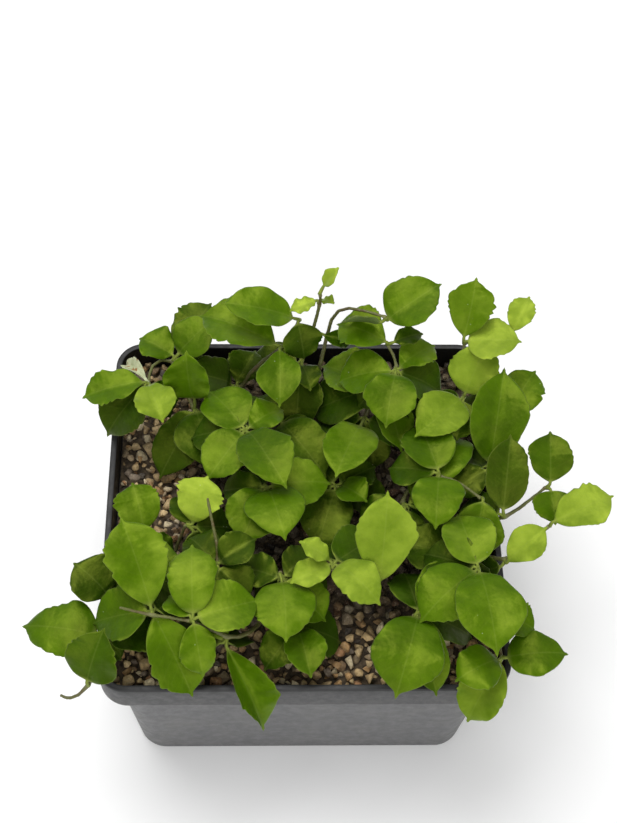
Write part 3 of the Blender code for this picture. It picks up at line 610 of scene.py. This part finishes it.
def grow_leaf(blade, foot, layer, tone, rng):
    """One leaf's points, faces and point layers: its stalk and its blade as one closed skin.

    The layer is how far its blade stands above, or below, the others of its cluster.
    """
    rows, (left, right) = outline_of(blade, rng)
    spans = np.sin(np.linspace(-math.pi / 2, math.pi / 2, BLADE_COLUMNS + 1))
    cup = cup_of(blade)
    inner = SHOULDER**CUP_POWER
    arch = np.median([
        (blade.bows[t] - blade.halves[t] * cup * inner) / (4 * t * (1 - t)) for t in blade.bows
    ])
    wave = rng.uniform(0.22, 0.60) * (1.2 if blade.toothed else 0.9)
    beats, phase = rng.uniform(1.6, 3.4), rng.uniform(0, 6.28)
    twist, sway, curl = rng.uniform(-0.10, 0.10), rng.uniform(-0.35, 0.35), rng.uniform(0.1, 0.8)
    fold = rng.uniform(0.02, 0.24)
    if folded(blade):
        wave *= FOLDED_WAVE
        twist += FOLDED_TWIST
    skins = []
    layers = {name: [] for name in ("tone", "vein", "from_midrib", "from_margin", "upper", "stalk")}

    def ring(middle, across, out, halves, crown, thick, t, stalk):
        offsets = np.where(spans > 0, spans * halves[0], spans * halves[1])
        size = np.abs(spans)
        height = crown(size, offsets)
        half = thick(size)
        both = [(spans, offsets, height + half, 1.0), (spans[-2:0:-1], offsets[-2:0:-1],
                (height - half)[-2:0:-1], 0.0)]
        for span, offset, level, upper in both:
            skins.append(middle + np.outer(offset, across) + np.outer(level, out))
            breadth = np.where(span > 0, halves[0], halves[1])
            layers["vein"].append(t * 7.5 - np.abs(span) * 1.7 + np.sign(span) * 0.13 + 4)
            layers["from_midrib"].append(np.abs(offset) + (1 - stalk) * 0.05)
            layers["from_margin"].append(breadth * (1 - np.abs(span)) + stalk)
            layers["upper"].append(np.where(np.abs(span) > 0.995, 0.5, upper))
            layers["stalk"].append(np.full(len(span), stalk))
            layers["tone"].append(np.full(len(span), tone))

    path = stalk_path(blade, foot)
    for i, middle in enumerate(path):
        ahead = path[i + 1] - middle if i + 1 < len(path) else blade.along
        ahead = ahead / np.linalg.norm(ahead)
        out = np.cross(ahead, blade.across)
        out = out / np.linalg.norm(out) if np.linalg.norm(out) > 0.2 else blade.out
        across = np.cross(out, ahead)
        across = across / np.linalg.norm(across)
        radius = STALK_RADIUS * (1.25 - 0.35 * i / len(path))
        ring(middle, across, out, (radius, radius), lambda size, _: 0 * size,
             lambda size: radius * np.sqrt(np.clip(1 - size**2, 0, 1)), 0.0, 1.0)
    start = blade.stalk * STALK_SHOWN
    reach = blade.length - start
    for t, half_left, half_right in zip(rows, left, right):
        turn = twist * t
        across = blade.across * math.cos(turn) + blade.out * math.sin(turn)
        out = blade.out * math.cos(turn) - blade.across * math.sin(turn)
        bow = arch * 4 * t * (1 - t) - curl * max(0.0, t - 0.8) ** 2 * 12
        middle = blade.seat + blade.along * (start + reach * t) + blade.out * bow
        middle = middle + blade.across * sway * math.sin(math.pi * t)
        middle = middle + blade.out * layer * min(1.0, t / 0.12)
        broad = (half_left + half_right) / 2
        body = min(1.0, t / 0.10)

        def crown(size, offsets, t=t, broad=broad, body=body):
            groove = GROOVE_DEPTH * body * (1 - t) ** 0.5 * np.exp(-((offsets / GROOVE_WIDTH) ** 2))
            ruffle = wave * size**3 * np.sin(6.28 * (beats * t) + phase + np.sign(offsets) * 0.9) * body
            return broad * (cup * size**CUP_POWER + fold * size) - groove + ruffle * min(1, (1 - t) * 8)

        def thick(size, t=t, broad=broad, body=body):
            stalk_thick = 2 * STALK_RADIUS * 0.9 * (1 - body)
            middle_thick = (BLADE_THICKNESS * body + stalk_thick) * min(1, 0.25 + (1 - t) * 5)
            edge = MARGIN_THICKNESS * body * min(1, 0.4 + (1 - t) * 5)
            round_edge = np.sqrt(np.clip(1 - size**2, 0, 1))
            plump = edge * round_edge**0.5 + (middle_thick - edge) * round_edge**1.4
            return np.minimum(plump / 2, broad * 1.2 * round_edge)

        ring(middle, across, out, (half_left, half_right), crown, thick, t, max(0.0, 1 - t / 0.06))
    count = 2 * BLADE_COLUMNS
    total = len(path) + BLADE_ROWS
    faces = [tuple(range(count))]
    for row in range(total - 1):
        for i in range(count):
            j = (i + 1) % count
            a, b = row * count, (row + 1) * count
            faces.append((a + j, a + i, b + i, b + j))
    faces.append(tuple(reversed(range((total - 1) * count, total * count))))
    return np.concatenate(skins), faces, {name: np.concatenate(parts) for name, parts in layers.items()}


def tone_of(blade, cluster, slot, rng):
    heading = math.degrees(math.atan2(blade.along[1], blade.along[0]))
    tone = SLOT_TONES[slot]
    droop = YOUNG_DROOP if tone == YOUNG and blade.seat[2] < YOUNG_CEILING else DROOP
    # A leaf that points down takes the deep tone: painted shade under the leaves above it.
    if blade.along[2] < droop:
        tone = DEEP_AGED_AND_SHADED
    for other, odd in ODD_LEAVES.get(cluster, ()):
        if abs((heading - other + 180) % 360 - 180) < SAME_HEADING:
            tone = odd
    return tone if tone == WITHERED else tone + rng.uniform(-0.12, 0.12)


def build_cluster(name, slot, blades, stems, surfaces):
    """The fine leaves of one joint. It also gives back where each of them leaves its stem."""
    rng = random.Random(f"{SEED} {name}")
    points, faces, kinds, feet = [], [], [], []
    layers = {}
    lifts = sorted(blade.along[2] for blade in blades)
    for blade in blades:
        tone = tone_of(blade, name, slot, rng)
        layer = LAYER_STEP * (lifts.index(blade.along[2]) - (len(blades) - 1) / 2)
        spot, normal = stems.find_nearest(Vector(blade.seat))[:2]
        foot = np.array(spot - normal * STALK_RADIUS)
        feet.append(np.array(spot))
        first = sum(map(len, points))
        shape, skin, marks = grow_leaf(blade, foot, layer, max(tone, 0.0), rng)
        points.append(shape)
        faces += [tuple(first + i for i in face) for face in skin]
        kinds += [int(tone == WITHERED)] * len(skin)
        for key, values in marks.items():
            layers.setdefault(key, []).append(values)
    made = add_mesh(
        name.replace("leaves_", "foliage_"), np.concatenate(points), faces, surfaces, kinds,
        {key: np.concatenate(values) for key, values in layers.items()},
    )
    return made, feet


# ---------------------------------------------------------------- stems


def build_stem(node, feet, surface):
    """The frame's branching stem with a smooth round skin, swollen where leaves leave it."""
    made = bpy.data.objects.new(node.name.replace("stem_", "vine_"), node.data.copy())
    bpy.context.scene.collection.objects.link(made)
    skin = made.modifiers.new("skin", "REMESH")
    skin.mode = "VOXEL"
    skin.voxel_size = SKIN_VOXEL * MM
    smooth = made.modifiers.new("smooth", "SMOOTH")
    smooth.factor = 0.5
    smooth.iterations = SKIN_PASSES
    graph = bpy.context.evaluated_depsgraph_get()
    mesh = bpy.data.meshes.new_from_object(made.evaluated_get(graph))
    made.modifiers.clear()
    made.data = mesh
    flat = np.empty(len(mesh.vertices) * 3)
    mesh.vertices.foreach_get("co", flat)
    points = flat.reshape(-1, 3) / MM
    mesh.vertices.foreach_get("normal", flat)
    normals = flat.reshape(-1, 3)
    joint = np.zeros(len(points))
    for foot in feet:
        joint = np.maximum(joint, np.exp(-((np.linalg.norm(points - foot, axis=1) / NODE_REACH) ** 2)))
    bumps = np.array([noise.noise(Vector(p * 0.9)) + 0.5 * noise.noise(Vector(p * 2.1)) for p in points])
    points = points + normals * (SKIN_OFFSET + NODE_SWELL * joint + BARK_RELIEF * bumps)[:, None]
    low = points[:, 2].min()
    rise = (points[:, 2] - low) / (points[:, 2].max() - low)
    mesh.vertices.foreach_set("co", (points * MM).ravel())
    for key, values in (("joint", joint), ("rise", rise)):
        mesh.attributes.new(key, "FLOAT", "POINT").data.foreach_set("value", values.astype(np.float32))
    mesh.materials.clear()
    mesh.materials.append(surface)
    mesh.shade_smooth()
    mesh.update()
    return made


# ---------------------------------------------------------------- pot


def square_ring(width, corner, height):
    """A square with round corners at one height, anticlockwise from the right-hand side."""
    reach = width / 2 - corner
    ring = []
    for turn in range(4):
        for step in range(CORNER_STEPS + 1):
            angle = math.pi / 2 * (turn + step / CORNER_STEPS)
            x = reach if turn in (0, 3) else -reach
            y = reach if turn in (0, 1) else -reach
            ring.append((x + corner * math.cos(angle), y + corner * math.sin(angle), height))
    return ring


def pot_profile(rim, height):
    """(width, corner radius, height, painted shade) of each ring of the moulding, from foot to inner floor.
    """
    shoulder = height - BAND_HEIGHT
    mouth = rim - 2 * LIP_WIDTH
    inner = SHOULDER_WIDTH - 2 * WALL
    slope = (SHOULDER_WIDTH - BASE_WIDTH) / shoulder

    def wall(z):
        return BASE_WIDTH + slope * z

    # The last number of each ring is its painted shade: dark at the foot and under the band, darker over the
    # band, dark on the lip and near black inside the pot.
    foot = [(BASE_WIDTH - 1.0, BASE_CORNER - 0.5, 0.0, 0.7), (BASE_WIDTH - 0.5, BASE_CORNER - 0.2, 0.12, 0.5),
            (wall(0.5), BASE_CORNER, 0.5, 0.3), (wall(2.2), BASE_CORNER, 2.2, 0.05)]
    side = [(wall(z), BASE_CORNER, z, 0.0) for z in (8, 16, 24, 32, 40, 48)]
    side += [(wall(shoulder - 3.0), BASE_CORNER, shoulder - 3.0, 0.05),
             (wall(shoulder - 0.5), BASE_CORNER, shoulder - 0.5, 0.5)]
    low = rim - BAND_DRAFT
    band = [(wall(shoulder) + 0.8, BASE_CORNER, shoulder - 0.1, 0.7), (low - 1.0, RIM_CORNER, shoulder, 0.5),
            (low - 0.35, RIM_CORNER, shoulder + 0.10, 0.0), (low, RIM_CORNER, shoulder + 0.45, 0.0),
            (low + 0.05, RIM_CORNER, shoulder + 0.95, 0.50), (low + 0.1, RIM_CORNER, shoulder + 4, 0.58),
            (low + 0.2, RIM_CORNER, shoulder + 8, 0.64)]
    lip = [(rim, RIM_CORNER, height - 0.9, 0.72), (rim - 0.12, RIM_CORNER, height - 0.42, 0.88),
           (rim - 0.45, RIM_CORNER - 0.2, height - 0.12, 0.86), (rim - 1.0, RIM_CORNER - 0.4, height, 0.86),
           (mouth + 0.8, RIM_CORNER - 1.7, height, 0.88),
           (mouth + 0.25, RIM_CORNER - 1.9, height - 0.12, 0.92),
           (mouth, RIM_CORNER - LIP_WIDTH, height - 0.45, 1.0)]
    ledge = shoulder + WALL
    inside = [(mouth - 0.1, RIM_CORNER - LIP_WIDTH, height - 3, 1.0),
              (mouth - BAND_DRAFT, RIM_CORNER - LIP_WIDTH, ledge, 1.0),
              (inner, BASE_CORNER - WALL, ledge, 1.0),
              (inner - slope * (ledge - FLOOR), BASE_CORNER - WALL, FLOOR, 1.0)]
    return foot + side + band + lip + inside


def build_pot(low, high, surface):
    """The pot moulded anew: rounded foot, stepped band and soft lip, with its drain holes, and a layer of
    painted shade; the band's rounded lower edge is left out of the painted shade and reads as a pale line.
    """
    rings = pot_profile((high.x - low.x) / MM, (high.z - low.z) / MM)
    count = 4 * (CORNER_STEPS + 1)
    points, shade = [], []
    for width, corner, height, painted_shade in rings:
        points += square_ring(width, corner, height)
        shade += [painted_shade] * count
    faces = [tuple(reversed(range(count)))]
    for row in range(len(rings) - 1):
        for i in range(count):
            j = (i + 1) % count
            a, b = row * count, (row + 1) * count
            faces.append((a + i, a + j, b + j, b + i))
    faces.append(tuple(range((len(rings) - 1) * count, len(rings) * count)))
    made = add_mesh("pot_shell", points, faces, [surface], layers={"shade": shade})
    tool = bmesh.new()
    for x in (-0.5, 0.5):
        for y in (-0.5, 0.5):
            place = Matrix.Translation(Vector((x * DRAIN_SPACING, y * DRAIN_SPACING, 0)) * MM)
            radius = DRAIN_HOLE / 2 * MM
            bmesh.ops.create_cone(tool, cap_ends=True, segments=40, radius1=radius, radius2=radius,
                                  depth=6 * FLOOR * MM, matrix=place)
    holes = bpy.data.meshes.new("drain_holes")
    tool.to_mesh(holes)
    tool.free()
    cutter = bpy.data.objects.new("drain_holes", holes)
    bpy.context.scene.collection.objects.link(cutter)
    cut = made.modifiers.new("drain_holes", "BOOLEAN")
    cut.operation = "DIFFERENCE"
    cut.object = cutter
    graph = bpy.context.evaluated_depsgraph_get()
    made.data = bpy.data.meshes.new_from_object(made.evaluated_get(graph))
    made.modifiers.clear()
    bpy.data.objects.remove(cutter)
    made.data.shade_smooth()
    made.data.set_sharp_from_angle(angle=math.radians(38))
    return made


# ---------------------------------------------------------------- gravel


def gravel_painted_shade(x, y, mouth):
    """The gravel keeps its colour along the left and the front of the pot, and is darkened elsewhere as
    painted shade, under the foliage and by the back wall.
    """
    from_edge = min(x, y) + mouth / 2
    share = min(max((from_edge - SHADE_REACH[0]) / (SHADE_REACH[1] - SHADE_REACH[0]), 0.0), 1.0)
    return 1 - (1 - SHADED_SHARE) * share * share * (3 - 2 * share)


def grain_shape(rng):
    """A unit grain: a worn, angular stone."""
    mesh = bmesh.new()
    for _ in range(11):
        way = Vector([rng.gauss(0, 1) for _ in range(3)]).normalized()
        mesh.verts.new(way * rng.uniform(0.82, 1.12))
    hull = bmesh.ops.convex_hull(mesh, input=mesh.verts)
    bmesh.ops.delete(mesh, geom=[g for g in hull["geom_interior"] if isinstance(g, bmesh.types.BMVert)],
                     context="VERTS")
    bmesh.ops.dissolve_limit(mesh, angle_limit=math.radians(14), verts=mesh.verts, edges=mesh.edges)
    bmesh.ops.bevel(mesh, geom=mesh.edges[:], offset=0.15, segments=1, affect="EDGES", clamp_overlap=True)
    mesh.verts.index_update()
    points = np.array([v.co for v in mesh.verts])
    faces = [tuple(v.index for v in f.verts) for f in mesh.faces]
    mesh.free()
    return points, faces


def within_mouth(x, y, room, mouth):
    """Whether a grain of this radius lies inside the round-cornered mouth of the pot."""
    corner = RIM_CORNER - LIP_WIDTH
    dx = max(abs(x) - (mouth / 2 - corner), 0.0)
    dy = max(abs(y) - (mouth / 2 - corner), 0.0)
    return math.hypot(dx, dy) < corner - room


def settle_grains(rng, mouth, ground, clutter):
    """(x, y, z, radius) of every grain, dropped one by one into the lowest nearby hollow."""
    cell = 2 * GRAIN_RADII[1]
    heaps = {}
    grains = []

    def rest(x, y, radius):
        floor = ground.ray_cast(Vector((x, y, 200)), Vector((0, 0, -1)))[0]
        if floor is None:
            return None
        level = floor.z - GRAIN_SINK + 0.35 * radius
        kx, ky = int(x // cell), int(y // cell)
        for i in (kx - 1, kx, kx + 1):
            for j in (ky - 1, ky, ky + 1):
                for ox, oy, oz, other in heaps.get((i, j), ()):
                    touch = GRAIN_TOUCH * (radius + other)
                    gap = touch**2 - (x - ox) ** 2 - (y - oy) ** 2
                    if gap > 0:
                        level = max(level, oz + math.sqrt(gap))
        return level - floor.z, level

    for _ in range(GRAIN_COUNT):
        radius = GRAIN_RADII[0] + (GRAIN_RADII[1] - GRAIN_RADII[0]) * rng.random() ** 1.6
        best = None
        for _ in range(GRAIN_TRIES):
            x, y = (rng.uniform(-mouth / 2, mouth / 2) for _ in range(2))
            if within_mouth(x, y, GRAIN_ROOM * radius, mouth):
                found = rest(x, y, radius)
                if found and (best is None or found[0] < best[0]):
                    best = (*found, x, y)
        if best is None or best[0] > HEAP_HEIGHT:
            continue
        _, level, x, y = best
        near = clutter.find_nearest(Vector((x, y, level)), GRAIN_ROOM * radius)[0]
        if near is None:
            grain = (x, y, level, radius)
            grains.append(grain)
            heaps.setdefault((int(x // cell), int(y // cell)), []).append(grain)
    return grains


def build_grains(mouth, ground, clutter, surface):
    rng = random.Random(SEED)
    shapes = [grain_shape(rng) for _ in range(GRAIN_SHAPES)]
    points, faces, colours = [], [], []
    first = 0
    for x, y, z, radius in settle_grains(rng, mouth, ground, clutter):
        shape, skin = rng.choice(shapes)
        stretch = np.array([rng.uniform(0.85, 1.18), rng.uniform(0.8, 1.05), rng.uniform(0.62, 0.95)])
        turn = np.array(Euler([rng.uniform(0, 6.28) for _ in range(3)]).to_matrix())
        tilt = np.array(Euler((rng.gauss(0, 0.35), rng.gauss(0, 0.35), rng.uniform(0, 6.28))).to_matrix())
        points.append(((shape @ turn.T) * stretch * radius) @ tilt.T + (x, y, z))
        faces += [tuple(first + i for i in face) for face in skin]
        tint = np.array(rng.choices(GRAIN_TINTS, GRAIN_SHARES)[0]) * rng.uniform(1.0, 1.6)
        # Painted shade: grains away from the left and front walls are darkened.
        tint = tint * gravel_painted_shade(x, y, mouth)
        colours.append(np.tile((*tint, 1.0), (len(shape), 1)))
        first += len(shape)
    return add_mesh(
        "gravel_grains", np.concatenate(points), faces, [surface], colours=np.concatenate(colours)
    )


# ---------------------------------------------------------------- setting


def build_floor(surface):
    corners = [(x * TABLE_REACH, y * TABLE_REACH, 0) for x, y in ((-1, -1), (1, -1), (1, 1), (-1, 1))]
    made = add_mesh("table", corners, [(0, 1, 2, 3)], [surface])


def build_camera():
    """The camera looks down on the plant from the front, a little from the left, and leans slightly."""
    up, side = math.radians(ELEVATION), math.radians(AZIMUTH)
    back = Vector((math.sin(side) * math.cos(up), -math.cos(side) * math.cos(up), math.sin(up)))
    camera = bpy.data.objects.new("camera", bpy.data.cameras.new("camera"))
    camera.data.lens = LENS
    camera.data.clip_start = 0.01
    camera.location = Vector(AIM) + back * DISTANCE
    camera.rotation_euler = (
        back.to_track_quat("Z", "Y").to_matrix() @ Matrix.Rotation(math.radians(ROLL), 3, "Z")
    ).to_euler()
    bpy.context.scene.collection.objects.link(camera)
    bpy.context.scene.camera = camera


def build_lights():
    world = bpy.data.worlds.new("studio")
    world.use_nodes = True
    world.node_tree.nodes["Background"].inputs["Color"].default_value = (1.0, 1.0, 1.0, 1.0)
    world.node_tree.nodes["Background"].inputs["Strength"].default_value = SKY_STRENGTH
    bpy.context.scene.world = world
    for name, place, size, power in SOFTBOXES:
        light = bpy.data.lights.new(name, "AREA")
        light.size = size
        light.energy = power
        made = bpy.data.objects.new(name, light)
        made.location = place
        made.rotation_euler = Vector(place).to_track_quat("Z", "Y").to_euler()
        bpy.context.scene.collection.objects.link(made)
    bpy.context.scene.view_settings.view_transform = "Standard"


def main():
    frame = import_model()
    nodes = frame["nodes"]
    slots = {each["node"]: each["material_slot"] for each in frame["record"]["subparts"]}
    leaf_skins = [leaf_surface(), withered_surface()]
    bark = stem_surface()
    stems = {name: tree_of(node) for name, node in sorted(nodes.items()) if name.startswith("stem_")}
    feet = {name: [] for name in stems}
    for name in sorted(nodes):
        if name.startswith("leaves_"):
            vine = "stem_" + name[len("leaves_"):].rsplit("_", 1)[0]
            blades = read_cluster(nodes[name])
            made, found = build_cluster(name, slots[name], blades, stems[vine], leaf_skins)
            feet[vine] += found
            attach(made, "root")
            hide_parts(name)
    for name in stems:
        made = build_stem(nodes[name], feet[name], bark)
        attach(made, "root")
        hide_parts(name)
    pot = build_pot(*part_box("pot"), pot_surface())
    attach(pot, "root")
    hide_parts("pot")
    nodes["gravel"].data.materials.clear()
    nodes["gravel"].data.materials.append(bed_surface())
    low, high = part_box("pot")
    clutter = tree_of(*(node for name, node in sorted(nodes.items()) if name not in ("pot", "gravel")))
    mouth = (high.x - low.x) / MM - 2 * LIP_WIDTH - BAND_DRAFT
    grains = build_grains(mouth, tree_of(nodes["gravel"]), clutter, grain_surface())
    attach(grains, "root")
    build_floor(floor_surface())
    build_camera()
    build_lights()


main()
